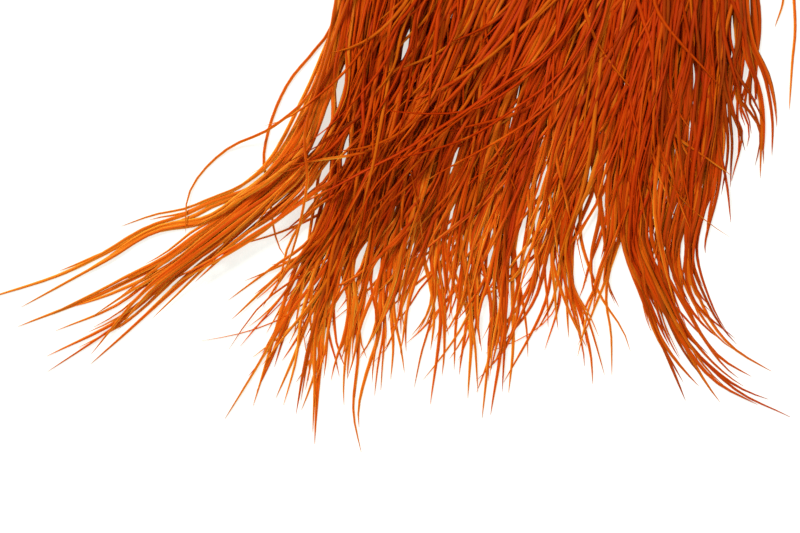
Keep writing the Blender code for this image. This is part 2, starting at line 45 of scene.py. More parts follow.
# The routes of the locks, in millimetres in plan: the width, the points from the root to the
# parting, and the ways on to the two tips. They repeat the routes of the solids, with a few
# points up to 2.5 mm off. The other values, with those of single locks by their numbers:
#   perWidth, sparse: feathers to a millimetre of width, feathers in the whole lock
#   reach, reaches: how much higher the shortest feathers end, as a share of the lock
#   tint, tints: the dye, from 0 for the deepest to 1 for golden
#   calm: how freely feathers wander
#   shade, open: the least cover, and the share of the cover that counts, which set the painted
#       glow and the painted shade of the feathers' edges
#   slim: share of the usual width
rearRow = {
    "name": "rear_row", "slot": "rear_feathers", "perWidth": 2.3, "tint": 0.52, "reach": 0.15,
    "calm": {1: 0.35, 2: 0.35, 12: 0.7, 13: 0.6, 14: 0.6}, "sparse": {1: 6, 2: 6, 13: 21, 14: 17},
    "tints": {1: 0.92, 2: 0.92, 9: 0.44, 10: 0.40, 11: 0.37, 12: 0.35, 13: 0.33, 14: 0.34},
    "shade": {13: 0.15, 14: 0.12},
    "open": {1: 0.5, 2: 0.5},
    "reaches": {11: 0.16, 12: 0.36, 13: 0.30, 14: 0.30},
    "locks": [
        (6, [(-38, -32), (-60, -62), (-75, -91), (-83, -116), (-92, -139), (-106, -162),
             (-129, -175)],
         [(-149, -183), (-165, -191), (-182, -199), (-209, -207)], [(-146, -177), (-159, -181)]),
        (6, [(-33, -34), (-55, -66), (-72, -92), (-81, -117), (-90, -144), (-105, -165),
             (-127, -180)],
         [(-143, -184), (-160, -191), (-194, -209)], [(-157, -201), (-195, -216)]),
        (7, [(-28, -36), (-50, -68), (-66, -95), (-74, -125), (-79, -155), (-86, -185)],
         [(-104, -221), (-121, -249)], [(-98, -218), (-107, -240)]),
        (7, [(-23, -37), (-42, -70), (-57, -98), (-66, -128), (-75, -158), (-86, -188),
             (-94, -212)],
         [(-99, -230), (-103, -243)], [(-93, -233), (-93, -253)]),
        (7, [(-17, -37), (-34, -70), (-48, -98), (-60, -128), (-72, -160), (-83, -190)],
         [(-89, -222), (-91, -257)], [(-82, -210), (-80, -231)]),
        (7, [(-11, -38), (-26, -72), (-40, -102), (-52, -132), (-64, -162), (-74, -190)],
         [(-80, -214), (-84, -235)], [(-76, -220), (-79, -244), (-76, -260)]),
        (7, [(-5, -38), (-18, -72), (-31, -102), (-43, -132), (-56, -162), (-64, -190)],
         [(-69, -215), (-72, -240)], [(-62, -212), (-60, -232)]),
        (7, [(1, -38), (-10, -72), (-22, -102), (-34, -132), (-44, -162), (-50, -190)],
         [(-54, -214), (-58, -237)], [(-47, -215), (-51, -243)]),
        (7, [(7, -38), (-3, -72), (-13, -102), (-23, -132), (-33, -162), (-38, -190)],
         [(-43, -212), (-44, -231)], [(-36, -215), (-36, -241)]),
        (8, [(13, -38), (6, -72), (-3, -102), (-12, -132), (-20, -162), (-26, -192)],
         [(-30, -220), (-33, -248)], [(-24, -220), (-28, -247)]),
        (9, [(20, -37), (15, -70), (9, -102), (4, -135), (0, -165), (-4, -188)],
         [(-12, -212), (-24, -236)], [(-1, -205), (5, -225), (6, -236)]),
        (10, [(27, -36), (25, -70), (21, -102), (18, -135), (14, -165), (10, -190)],
         [(4, -208), (0, -226)], [(11, -210), (12, -233)]),
        (12, [(33, -34), (35, -70), (33, -102), (29, -135), (24, -165), (21, -190)],
         [(28, -216), (38, -242)], [(34, -216), (54, -238), (75, -248)]),
        (9, [(38, -31), (46, -68), (47, -102), (48, -135), (45, -163), (38, -189)],
         [(41, -210), (50, -225), (62, -233)], [(45, -208), (55, -222), (69, -231)]),
    ],
}
secondRow = {
    "name": "second_row", "slot": "second_feathers", "perWidth": 2.2, "tint": 0.51, "reach": 0.17,
    "calm": {1: 0.35, 2: 0.35, 3: 0.35, 4: 0.8, 12: 0.6, 13: 0.6},
    "sparse": {1: 7, 2: 7, 3: 7, 4: 10, 13: 33},
    "tints": {1: 0.62, 2: 0.58, 3: 0.56, 4: 0.56, 8: 0.44, 9: 0.40, 10: 0.37, 11: 0.35, 12: 0.33,
              13: 0.28},
    "shade": {12: 0.15, 13: 0.15},
    "open": {1: 0.5, 2: 0.5, 3: 0.5, 4: 0.5},
    "reaches": {11: 0.30, 12: 0.30, 13: 0.30},
    "locks": [
        (6, [(-44, -18), (-64, -52), (-78, -85), (-83, -113), (-89, -137), (-102, -159),
             (-124, -179), (-145, -192)],
         [(-165, -202), (-184, -211)], [(-160, -207), (-182, -217)]),
        (6, [(-38, -20), (-58, -56), (-74, -88), (-80, -114), (-88, -141), (-100, -162),
             (-120, -181), (-140, -196)],
         [(-158, -213), (-185, -226)], [(-154, -203), (-168, -212)]),
        (6, [(-32, -21), (-52, -60), (-69, -92), (-77, -118), (-86, -145), (-98, -164),
             (-118, -182), (-138, -197)],
         [(-158, -214), (-185, -231)], [(-153, -213), (-170, -228.5)]),
        (7, [(-26, -22), (-46, -64), (-63, -95), (-73, -123), (-82, -148), (-96, -167)],
         [(-121, -187), (-148, -213)], [(-123, -184), (-150, -203), (-169, -226)]),
        (7, [(-19, -22), (-37, -64), (-53, -96), (-64, -126), (-75, -155), (-87, -180)],
         [(-104, -194.5), (-122, -211.5)], [(-98, -200), (-118, -222)]),
        (7, [(-12, -23), (-28, -64), (-43, -97), (-56, -128), (-69, -160), (-80, -188)],
         [(-90, -218), (-96, -247)], [(-84, -212), (-88, -234)]),
        (7, [(-5, -23), (-19, -65), (-33, -98), (-47, -130), (-60, -162), (-69, -190)],
         [(-77, -215), (-82, -233)], [(-70, -215), (-71, -236)]),
        (7, [(2, -23), (-9, -66), (-22, -100), (-35, -132), (-48, -162), (-56, -186)],
         [(-64, -207), (-76, -226)], [(-58, -207), (-63, -225)]),
        (7, [(9, -23), (0, -66), (-12, -100), (-24, -132), (-36, -162), (-43, -185)],
         [(-46, -205), (-44, -219)], [(-37, -208), (-34, -239)]),
        (8, [(16, -22), (10, -66), (1, -100), (-9, -132), (-19, -162), (-24, -188)],
         [(-29, -212), (-30, -233)], [(-22, -214), (-24, -239)]),
        (11, [(24, -22), (21, -66), (15, -100), (8, -134), (1, -164), (-5, -187)],
         [(-10, -203), (-20, -226)], [(0, -203), (10, -233)]),
        (12, [(32, -20), (32, -64), (29, -100), (26, -134), (22, -164), (20, -190)],
         [(27, -213), (39, -235)], [(34, -213), (48, -233), (64, -243)]),
        (13, [(40, -18), (44, -60), (44, -98), (44, -132), (40, -164), (35, -190)],
         [(36, -210), (44, -224)], [(42, -208), (56, -220)]),
    ],
}
middleRow = {
    "name": "middle_row", "slot": "middle_feathers", "perWidth": 2.0, "tint": 0.49, "reach": 0.22,
    "calm": {1: 0.6, 10: 0.6}, "sparse": {1: 11, 8: 34, 10: 22},
    "tints": {1: 0.62, 7: 0.44, 8: 0.40, 9: 0.35, 10: 0.22}, "shade": {10: 0.12}, "open": {1: 0.5},
    "locks": [
        (7, [(-42, -2), (-62, -40), (-74, -76), (-79, -106), (-83, -134), (-92, -156)],
         [(-112, -170), (-134, -182)], [(-106, -173), (-126, -190)]),
        (8, [(-34, -4), (-52, -44), (-66, -80), (-71, -110), (-75, -136)],
         [(-82, -158), (-90, -180)], [(-76, -160), (-79, -187)]),
        (8, [(-25, -5), (-40, -46), (-53, -82), (-61, -114), (-69, -144)],
         [(-79, -168), (-92, -189)], [(-72, -170), (-78, -196)]),
        (8, [(-16, -6), (-27, -48), (-40, -84), (-52, -116), (-64, -148)],
         [(-78, -175), (-92, -197)], [(-70, -178), (-76, -204)]),
        (8, [(-6, -6), (-14, -50), (-26, -86), (-39, -118), (-52, -150)],
         [(-65, -180), (-75, -202)], [(-58, -180), (-63, -206)]),
        (8, [(4, -6), (-2, -50), (-12, -86), (-25, -119), (-38, -150)],
         [(-50, -180), (-60, -205)], [(-42, -180), (-45, -203)]),
        (9, [(14, -6), (10, -50), (2, -87), (-10, -120), (-21, -152)],
         [(-33, -182), (-40, -208)], [(-26, -184), (-30, -212)]),
        (12, [(24, -5), (22, -50), (17, -88), (8, -121), (-2, -153)],
         [(-14, -183), (-22, -208)], [(-7, -180), (-12, -203)]),
        (15, [(33, -4), (35, -48), (33, -86), (29, -120), (25, -152)],
         [(21, -180), (23, -205)], [(28, -182), (33, -208)]),
        (9, [(41, -2), (50, -44), (56, -82), (56, -114), (54, -138)],
         [(53, -155), (53, -167)], [(60, -148), (56, -165)]),
    ],
}
fourthRow = {
    "name": "fourth_row", "slot": "fourth_feathers", "perWidth": 1.85, "tint": 0.47, "reach": 0.26,
    "calm": {1: 0.35, 8: 0.7}, "sparse": {1: 14, 8: 26},
    "tints": {1: 0.57, 6: 0.42, 7: 0.35, 8: 0.10}, "shade": {8: 0.25}, "open": {1: 0.7},
    "locks": [
        (8, [(-37, 13), (-56, -24), (-69, -60), (-75, -94), (-78, -120)],
         [(-83, -138), (-91, -153)], [(-78, -141), (-82, -159)]),
        (9, [(-27, 12), (-40, -28), (-52, -64), (-61, -98), (-68, -126)],
         [(-76, -150), (-87, -171)], [(-70, -152), (-76, -178)]),
        (9, [(-16, 11), (-25, -32), (-36, -68), (-47, -102), (-57, -132)],
         [(-69, -158), (-82, -180)], [(-62, -160), (-69, -186)]),
        (9, [(-4, 10), (-9, -34), (-19, -72), (-33, -106), (-46, -137)],
         [(-60, -163), (-76, -184)], [(-53, -166), (-62, -192)]),
        (9, [(8, 10), (6, -34), (-2, -73), (-14, -107), (-28, -139)],
         [(-42, -168), (-55, -192)], [(-35, -170), (-42, -196)]),
        (11, [(20, 11), (20, -34), (14, -74), (3, -109), (-9, -141)],
         [(-22, -170), (-33, -194)], [(-15, -172), (-21, -198)]),
        (13, [(30, 12), (33, -30), (32, -70), (27, -106), (20, -140)],
         [(12, -168), (6, -190)], [(19, -170), (18, -196)]),
        (11, [(38, 13), (47, -26), (51, -64), (51, -98), (50, -130)],
         [(44, -155), (42, -180)], [(55, -151), (52, -170)]),
    ],
}
frontRow = {
    "name": "front_row", "slot": "front_feathers", "perWidth": 1.85, "tint": 0.47, "reach": 0.30,
    "calm": {1: 0.35}, "sparse": {1: 15}, "tints": {1: 0.52, 6: 0.26},
    "locks": [
        (9, [(-28, 28), (-42, -10), (-54, -48), (-61, -80), (-66, -105)],
         [(-72, -122), (-80, -137)], [(-66, -126), (-69, -145)]),
        (9, [(-16, 30), (-25, -8), (-35, -47), (-45, -82), (-54, -110)],
         [(-64, -130), (-76, -147)], [(-58, -133), (-63, -153)]),
        (9, [(-5, 31), (-9, -8), (-17, -48), (-28, -85), (-40, -116)],
         [(-53, -139), (-67, -157)], [(-46, -142), (-53, -164)]),
        (9, [(7, 31), (6, -8), (0, -49), (-11, -87), (-25, -120)],
         [(-43, -146), (-63, -167)], [(-36, -150), (-46, -174)]),
        (12, [(18, 30), (20, -8), (17, -48), (10, -86), (-1, -121)],
         [(-15, -149), (-29, -172)], [(-8, -153), (-13, -178)]),
        (13, [(29, 28), (36, -10), (38, -48), (37, -86), (33, -118)],
         [(27, -145), (24, -170)], [(34, -147), (37, -172)]),
    ],
}
rightEdge = {
    "name": "right_edge", "slot": "stray_feathers", "perWidth": 1.4, "tint": 0.45, "reach": 0.15,
    "calm": {1: 0.25}, "sparse": {1: 8}, "tints": {1: 0.28}, "shade": {1: 0.10},
    "locks": [
        (3.5, [(42, 6), (52, -35), (56, -72), (57.5, -102), (60, -118)],
         [(65, -138), (65, -164)], [(66, -129), (69, -143), (69, -156)]),
    ],
}
crossing = {
    "name": "crossing", "slot": "stray_feathers", "perWidth": 0.8, "tint": 0.50, "reach": 0.20,
    "calm": {1: 1.6}, "sparse": {1: 5}, "slim": 0.72,
    "locks": [
        (5, [(26, 22), (24, -30), (15, -80), (-3, -116), (-28, -135), (-50, -150), (-64, -159)],
         [(-81, -167), (-98, -178)], [(-71, -166), (-79, -179)]),
    ],
}
# Single feathers: those under the locks, then those on top.
lowStrays = {
    "upper_loop_feather": [(-41, -26), (-66, -62), (-84, -108), (-91, -119), (-100, -130),
                           (-106, -143), (-109, -157), (-107, -168), (-106, -178),
                           (-104, -187), (-101, -192)],
    "short_right_stray_feather": [(44, -22), (60, -60), (70, -86), (73, -100), (70, -111)],
    "long_right_stray_feather": [(45, -8), (63, -45), (74, -82), (77, -108), (76, -124),
                                 (75, -140)],
    "gap_crossing_feather": [(-20, -30), (-46, -86), (-62, -130), (-76, -162), (-86, -174),
                             (-101, -182), (-120, -188)],
}
topStrays = {
    "outer_loop_feather": [(-40, 3), (-62, -45), (-80, -90), (-86.5, -118.5), (-93.3, -135.8),
                           (-106.4, -146.9), (-120.4, -152.9), (-130.4, -161.6), (-135.6, -171),
                           (-136, -183)],
    "curved_stray_feather": [(-33, 8), (-56, -50), (-76, -95), (-87, -125), (-94, -148),
                             (-93, -164), (-95, -177), (-99, -191), (-105, -204)],
}

feather = {
    "rings": 44,  # cuts along the blade
    "halfWidth": 0.84 * mm,
    "thickness": 0.70 * mm,
    "widths": (0.72, 1.1),  # of each feather, as shares
    "shoulderAt": 0.56,  # the section, as shares of the half width and the thickness
    "shoulderHeight": 0.66,
    "hollowHeight": 0.42,
    "barbs": 30,  # on each edge
    "barbsFrom": 0.055,
    "barbsTo": 0.95,
    "barbLength": 0.016,  # of the feather's length
    "barbThickness": 0.055,
    "barbRoot": (0.94, 0.06),  # where they leave the edge, outwards and upwards
    "barbReach": 0.16,  # and how far they go on from there
    "barbDrop": 0.02,
    "barbUneven": 0.10,
    "barbShift": (-0.3, 0.5),
    "taperAt": [0, 0.025, 0.06, 0.13, 0.50, 0.72, 0.86, 0.945, 0.985, 1],
    "taper": [0.13, 0.16, 0.60, 0.95, 1.00, 0.96, 0.82, 0.58, 0.31, 0.05],
    "variants": 5,
}
lay = {
    "step": 1.0 * mm,  # between the points of a lock's routes
    "stations": 100,  # points of each feather's own route
    "footprint": 7,  # points across, looked at and laid on the height map
    "body": 0.52 * mm,  # how much a feather lifts those that cross it
    "bodyFall": 0.75,  # how much less at its edges
    "slimmest": 0.2 * mm,  # half width, at the quill and the tip
    "deepPile": 5,  # this many feathers more than one are full cover
    "gap": 0.05 * mm,  # between feathers that cross
    "steepest": 0.34,  # rise to run, where a feather climbs over others
    "rootSpread": (3.2 * mm, 6.0 * mm),  # how far roots lie from the lock's own, across and along
    "wander": 2.0 * mm,  # how far a feather swings about its lane
    "waves": (0.8, 2.3),  # how many times it does
    "drift": 2.8 * mm,  # how far its end comes to lie to one side
    "spread": 1.5 * mm,  # how much wider than the lock its feathers end
    "splay": 5.0 * mm,  # how far the last third bends to either side
    "splayFrom": 0.68,  # share of its length
    "aside": (0.75, 1.3),  # how freely tips splay to either side, and the most that they do
    "flick": 7.0 * mm,  # how far the ends of straying feathers turn aside
    "flickFrom": 0.84,
    "leanAt": [-95, -75, -25, 10, 40],  # millimetres to the right
    "lean": [-0.4, -1.0, -1.0, 0.0, 0.3],  # how much more of them turn to the right there
    "lanes": (0.85, 1.5),  # share of feathers inside the lock, and how far out the others lie
    "guided": 0.25,  # how freely the two longest feathers of a lock wander, as a share
    "nextLongest": 0.98,  # how far along the lock the others reach at most
    "tintSpread": 0.15,
    "golden": (0.18, 0.65, 0.9),  # share of feathers that took the dye less deeply, their tints
    "dark": (0.03, 0.02, 0.16),  # share of feathers that took it deepest, their tints
    "thin": 0.05,  # share of feathers that are only hair-thin strands
    "thinWidth": 0.4,
    "wild": 0.20,  # share of feathers that stray across their neighbours
    "wildness": 1.9,
    "roll": 14,  # degrees
    "overPile": 5.0 * mm,  # the most that a solid's underside holds a feather above the pile
    "stray": (0.75, 0.7),  # width and tint of the stray feathers
}
# Where the pile has parted and the ground shows: both ends of each parting and its half width,
# in millimetres.
partings = [
    ((-57, -106), (-61, -127), 1.5), ((-79, -118), (-85, -145), 1.9),
    ((-84.5, -131), (-91, -160), 1.7), ((-78.5, -144), (-82, -165), 1.5),
    ((-84, -155), (-91, -169), 1.6), ((-82.6, -168), (-104.2, -193), 2.2),
    ((-118, -170), (-136, -180), 1.2), ((-134, -181), (-160, -195), 2.2),
    ((-40, -147), (-44, -167), 1.2), ((-73, -184), (-78, -203), 1.6),
    ((-67, -186), (-72, -206), 1.5), ((-79, -203), (-84, -228), 1.9),
    ((-70, -205), (-75, -228), 1.9), ((-50, -194), (-60, -224), 2.4),
    ((-30, -200), (-33, -222), 1.6), ((10, -168), (-3, -208), 3.0),
    ((10, -178), (7, -208), 1.6), ((15, -184), (18, -218), 3.0), ((53, -104), (57, -122), 1.2),
]
heightMap = {"cell": 0.5 * mm, "west": -230 * mm, "east": 100 * mm,
             "south": -280 * mm, "north": 65 * mm}
tileHeights = np.zeros((
    int((heightMap["east"] - heightMap["west"]) / heightMap["cell"]),
    int((heightMap["north"] - heightMap["south"]) / heightMap["cell"]),
))
tileCounts = np.zeros_like(tileHeights)
smoothing = np.array([1, 2, 3, 2, 1]) / 9


def selectWhere(thing, test):
    # Selects, in edit mode, the vertices whose place passes the test.
    bpy.ops.mesh.select_all(action="DESELECT")
    bpy.ops.object.mode_set(mode="OBJECT")
    for vertex in thing.data.vertices:
        vertex.select = bool(test(vertex.co))
    bpy.ops.object.mode_set(mode="EDIT")


def modelBlade():
    # One feather's blade along +Y, one long and two wide: a shallow roof, hollow beneath.
    bpy.ops.object.select_all(action="DESELECT")
    bpy.ops.mesh.primitive_cylinder_add(
        vertices=6, radius=1, depth=1, location=(0, 0.5, 0), rotation=(math.radians(90), 0, 0)
    )
    blade = bpy.context.object
    bpy.ops.object.transform_apply(location=True, rotation=True, scale=True)
    bpy.ops.object.mode_set(mode="EDIT")
    bpy.ops.mesh.select_mode(type="VERT")
    selectWhere(blade, lambda p: abs(p.x) > 0.5 and p.z > 0)
    bpy.ops.transform.resize(value=(feather["shoulderAt"] / math.sin(math.radians(60)), 1, 1))
    bpy.ops.transform.translate(value=(0, 0, feather["shoulderHeight"] - 0.5))
    selectWhere(blade, lambda p: abs(p.x) > 0.5 and p.z < 0)
    bpy.ops.transform.resize(value=(1 / math.sin(math.radians(60)), 1, 1))
    bpy.ops.transform.translate(value=(0, 0, 0.5))
    selectWhere(blade, lambda p: p.z < -0.9)
    bpy.ops.transform.translate(value=(0, 0, 1 + feather["hollowHeight"]))
    for k in range(1, feather["rings"]):
        bpy.ops.mesh.select_all(action="SELECT")
        bpy.ops.mesh.bisect(plane_co=(0, k / feather["rings"], 0), plane_no=(0, 1, 0))
    bpy.ops.object.mode_set(mode="OBJECT")
    return blade


def modelBarbs():
    # The free ends of the barbs along both edges, pointing forward and a little outward.
    bpy.ops.object.select_all(action="DESELECT")
    start, end, count = feather["barbsFrom"], feather["barbsTo"], feather["barbs"]
    bpy.ops.mesh.primitive_cone_add(
        vertices=3, radius1=1, radius2=0, depth=1, location=(0, 0.5, 0),
        rotation=(math.radians(-90), 0, 0)
    )
    barb = bpy.context.object
    bpy.ops.object.transform_apply(location=True, rotation=True, scale=True)
    bpy.ops.object.mode_set(mode="EDIT")
    bpy.ops.mesh.select_all(action="SELECT")
    bpy.ops.transform.resize(
        value=(feather["barbThickness"], feather["barbLength"], 2 * feather["barbThickness"]),
        center_override=(0, 0, 0)
    )
    selectWhere(barb, lambda p: p.y > feather["barbLength"] / 2)
    bpy.ops.transform.translate(value=(feather["barbReach"], 0, -feather["barbDrop"]))
    bpy.ops.mesh.select_all(action="SELECT")
    bpy.ops.transform.translate(value=(feather["barbRoot"][0], start, feather["barbRoot"][1]))
    bpy.ops.object.mode_set(mode="OBJECT")
    row = barb.modifiers.new("row", "ARRAY")
    row.count = count
    row.use_relative_offset = False
    row.use_constant_offset = True
    row.constant_offset_displace = (0, (end - start - feather["barbLength"]) / (count - 1), 0)
    other = barb.modifiers.new("other edge", "MIRROR")
    other.use_axis = (True, False, False)
    other.use_mirror_merge = False
    bpy.ops.object.modifier_apply(modifier="row")
    bpy.ops.object.modifier_apply(modifier="other edge")
    return barb


def faceLists(mesh):
    return [tuple(face.vertices) for face in mesh.polygons]


def places(mesh):
    flat = np.zeros(len(mesh.vertices) * 3)
    mesh.vertices.foreach_get("co", flat)
    return flat.reshape(-1, 3)


# From where to where the parts of a feather lie across its own strip of the UV map, and for the
# ends of its blade the middle.
stripParts = {"top": (0.02, 0.50), "underside": (0.54, 0.76), "ends": 0.79,
              "rightBarbs": (0.82, 0.89), "leftBarbs": (0.92, 0.99)}


def unwrapped(points, faces, isBarb):
    # A place in the feather's strip for every corner, the barbs in rows of small triangles.
    corners = []
    seen = {1: 0, -1: 0}
    for face in faces:
        spots = points[list(face)]
        middle = spots.mean(axis=0)
        if isBarb:
            edge = 1 if middle[0] > 0 else -1
            step = 1 / (4 * feather["barbs"])
            left = seen[edge] * step
            low, high = stripParts["rightBarbs" if edge > 0 else "leftBarbs"]
            shape = [(0.05, low), (0.85, low), (0.45, high)]
            corners += [(left + x * step, y) for x, y in shape]
            seen[edge] += 1
        elif len(face) > 4:
            base = 0.0 if middle[1] < 0.5 else 0.995
            for spot in spots:
                corners.append((base + 0.004 * (spot[2] + 0.2),
                                stripParts["ends"] + 0.01 * spot[0]))
        else:
            under = spots[:, 2].max() <= feather["hollowHeight"] + 1e-4
            low, high = stripParts["underside" if under else "top"]
            for x, y, _ in spots:
                corners.append((0.006 + 0.988 * y, low + (high - low) * (x + 1) / 2))
    return np.array(corners)


def tapered(points, barbSeeds):
    # Draws the feather in towards its quill and its tip, and makes the barbs uneven.
    taper = np.interp(points[:, 1], feather["taperAt"], feather["taper"])
    points = points.copy()
    points[:, 0] *= taper
    points[:, 2] *= 0.35 + 0.65 * taper
    return points + barbSeeds * taper[:, None]


def featherTemplates():
    blade, barbs = modelBlade(), modelBarbs()
    bladePoints, bladeFaces = places(blade.data), faceLists(blade.data)
    barbPoints, barbFaces = places(barbs.data), faceLists(barbs.data)
    points = np.vstack([bladePoints, barbPoints])
    faces = bladeFaces + [tuple(np.array(face) + len(bladePoints)) for face in barbFaces]
    uv = np.vstack([unwrapped(bladePoints, bladeFaces, False),
                    unwrapped(barbPoints, barbFaces, True)])
    for thing in (blade, barbs):
        bpy.data.objects.remove(thing)
    templates = []
    for k in range(feather["variants"]):
        chance = np.random.default_rng(40 + k)
        uneven = np.zeros_like(points)
        tips = len(bladePoints) + np.arange(3, len(barbPoints), 4)
        side = np.sign(points[tips, 0])
        uneven[tips, 0] = side * chance.normal(0, feather["barbUneven"], len(tips))
        shift = chance.uniform(*feather["barbShift"], len(tips))
        uneven[tips, 1] = shift * feather["barbLength"]
        uneven[tips, 2] = chance.normal(0, feather["barbUneven"], len(tips))
        templates.append({"points": tapered(points, uneven), "across": points[:, 0]})
    return templates, faces, uv


def between(index, spots, values):
    # Each column of the values at places that may lie between those that are known.
    return np.stack([np.interp(index, spots, column) for column in values.T], axis=1)


def smoothWay(points):
    # An even run of points on a smooth curve through the given ones, which are in millimetres.
    points = np.array(points, float) * mm
    ends = np.vstack([2 * points[0] - points[1], points, 2 * points[-1] - points[-2]])
    curve = []
    for a, b, c, d in zip(ends, ends[1:], ends[2:], ends[3:]):
        for t in np.arange(16) / 16:
            curve.append(0.5 * (2 * b + (c - a) * t + (2 * a - 5 * b + 4 * c - d) * t * t
                                + (3 * b - a - 3 * c + d) * t ** 3))
    curve = np.array(curve + [points[-1]])
    lengths = np.concatenate([[0], np.cumsum(np.linalg.norm(np.diff(curve, axis=0), axis=1))])
    wanted = np.linspace(0, lengths[-1], max(8, int(lengths[-1] / lay["step"])))
    return between(wanted, lengths, curve)


def pointsOn(way, index):
    return between(index, np.arange(len(way)), way)


def leftOf(way):
    # The direction to the left of a route at each of its points.
    ahead = np.gradient(way, axis=0)
    ahead /= np.linalg.norm(ahead, axis=1, keepdims=True)
    return np.stack([-ahead[:, 1], ahead[:, 0]], axis=1)


def solidUnderside(node, way):
    # How high the solid's underside lies along a route.
    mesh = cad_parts[node].data
    tree = BVHTree.FromPolygons([v.co for v in mesh.vertices],
                                [tuple(p.vertices) for p in mesh.polygons])
    hits = [tree.ray_cast(Vector((x, y, -1)), Vector((0, 0, 1)))[0] for x, y in way]
    known = [k for k, hit in enumerate(hits) if hit is not None]
    return np.interp(np.arange(len(way)), known, [hits[k].z for k in known])


def tilesAt(spots):
    column = ((spots[..., 0] - heightMap["west"]) / heightMap["cell"]).astype(int)
    row = ((spots[..., 1] - heightMap["south"]) / heightMap["cell"]).astype(int)
    return column, row


def settled(route, halves, floorHeights):
    # The height of a feather along its route, resting on all that was laid before it.
    sides = leftOf(route)
    across = np.linspace(-1, 1, lay["footprint"])
    spots = route[:, None] + sides[:, None] * (halves[:, None] * across)[:, :, None]
    column, row = tilesAt(spots)
    below = tileHeights[column, row].max(axis=1)
    resting = np.where(below > 0, below + lay["gap"], 0)
    height = np.maximum(resting, np.minimum(floorHeights, resting + lay["overPile"]))
    # it climbs before what it crosses and comes down behind it
    drop = np.linalg.norm(np.diff(route, axis=0), axis=1) * lay["steepest"]
    for k in range(1, len(height)):
        height[k] = max(height[k], height[k - 1] - drop[k - 1])
    for k in range(len(height) - 2, -1, -1):
        height[k] = max(height[k], height[k + 1] - drop[k])
    height = np.convolve(np.pad(height, 2, mode="edge"), smoothing, mode="valid")
    top = height[:, None] + lay["body"] * (1 - lay["bodyFall"] * np.abs(across))
    np.maximum.at(tileHeights, (column.ravel(), row.ravel()), top.ravel())
    once = np.unique(np.stack([column.ravel(), row.ravel()]), axis=1)
    tileCounts[once[0], once[1]] += 1
    return height, sides


def bentFeather(template, route, width, chance, floorHeights):
    # The template's points laid along one route.
    stations = np.linspace(0, 1, len(route))
    profile = np.interp(stations, feather["taperAt"], feather["taper"])
    halfWidth = feather["halfWidth"] * width
    halves = np.maximum(halfWidth * profile, lay["slimmest"])
    height, sides = settled(route, halves, floorHeights)
    rolls = np.radians(lay["roll"]) * (
        chance.normal(0, 0.6) + np.sin(stations * chance.uniform(3, 8) + chance.uniform(0, 6))
    )
    line = np.column_stack([route, height])
    ahead = np.gradient(line, axis=0)
    ahead /= np.linalg.norm(ahead, axis=1, keepdims=True)
    side = np.column_stack([sides, np.zeros(len(route))])
    up = np.cross(-side, ahead)
    rolledSide = side * np.cos(rolls)[:, None] + up * np.sin(rolls)[:, None]
    rolledUp = up * np.cos(rolls)[:, None] - side * np.sin(rolls)[:, None]
    line[:, 2] += np.abs(np.sin(rolls)) * halfWidth * profile
    points = template["points"]
    along = np.clip(points[:, 1], 0, 1)
    centre, right, above = (between(along, stations, one)
                            for one in (line, -rolledSide, rolledUp))
    bent = (centre + right * points[:, :1] * halfWidth
            + above * points[:, 2:] * feather["thickness"])
    bent[:, 2] = np.maximum(bent[:, 2], 0.01 * mm)  # nothing goes into the ground
    return bent


def laidFeather(template, route, width, chance, floorHeights):
    points = bentFeather(template, route, width, chance, floorHeights)
    return {"points": points, "along": template["points"][:, 1], "across": template["across"]}


def featherRoute(way, sides, centres, rooms, tipShare, lane, chance, loose):
    # One feather's own route, wandering about its lane in the lock.
    length = len(way) * lay["step"]
    rootAcross = chance.uniform(-1, 1) * lay["rootSpread"][0]
    rootAlong = chance.uniform(0, 1) * lay["rootSpread"][1]
    s = np.linspace(rootAlong / length, tipShare, lay["stations"])
    share = (s - s[0]) / (s[-1] - s[0])
    index = s * (len(way) - 1)
    base, side = pointsOn(way, index), pointsOn(sides, index)
    centre, room = pointsOn(np.column_stack([centres, rooms]), index).T
    ease = share * share * (3 - 2 * share)
    leaving = np.clip(1 - share * 5, 0, 1) ** 2
    free = loose * (lay["guided"] if tipShare == 1 else 1)
    offset = centre + lane * (room + free * lay["spread"] * ease)
    offset = offset * (1 - leaving) + rootAcross * leaving
    waves, phase = chance.uniform(*lay["waves"]), chance.uniform(0, 2 * math.pi)
    swing = np.sin(share * waves * 2 * math.pi + phase) * np.minimum(share * 3, 1)
    offset += free * lay["wander"] * chance.uniform(0.4, 1.4) * swing * (1 + 0.6 * ease)
    offset += free * lay["drift"] * chance.normal(0, 0.7) * ease
    # the last third splays out, and the very ends of loose feathers turn further aside
    out = np.clip((share - lay["splayFrom"]) / (1 - lay["splayFrom"]), 0, 1) ** 1.6
    spread, most = lay["aside"]
    aside = np.clip(chance.normal(0, spread), -most, most)
    offset += free * lay["splay"] * aside * (1.2 - tipShare) * 4 * out
    turn = np.clip(aside, -1, 1) + np.interp(base[-1, 0] / mm, lay["leanAt"], lay["lean"])
    end = np.clip((share - lay["flickFrom"]) / (1 - lay["flickFrom"]), 0, 1) ** 1.5
    offset += max(0, free - 0.6) * lay["flick"] * turn * end
    return base + side * offset[:, None]


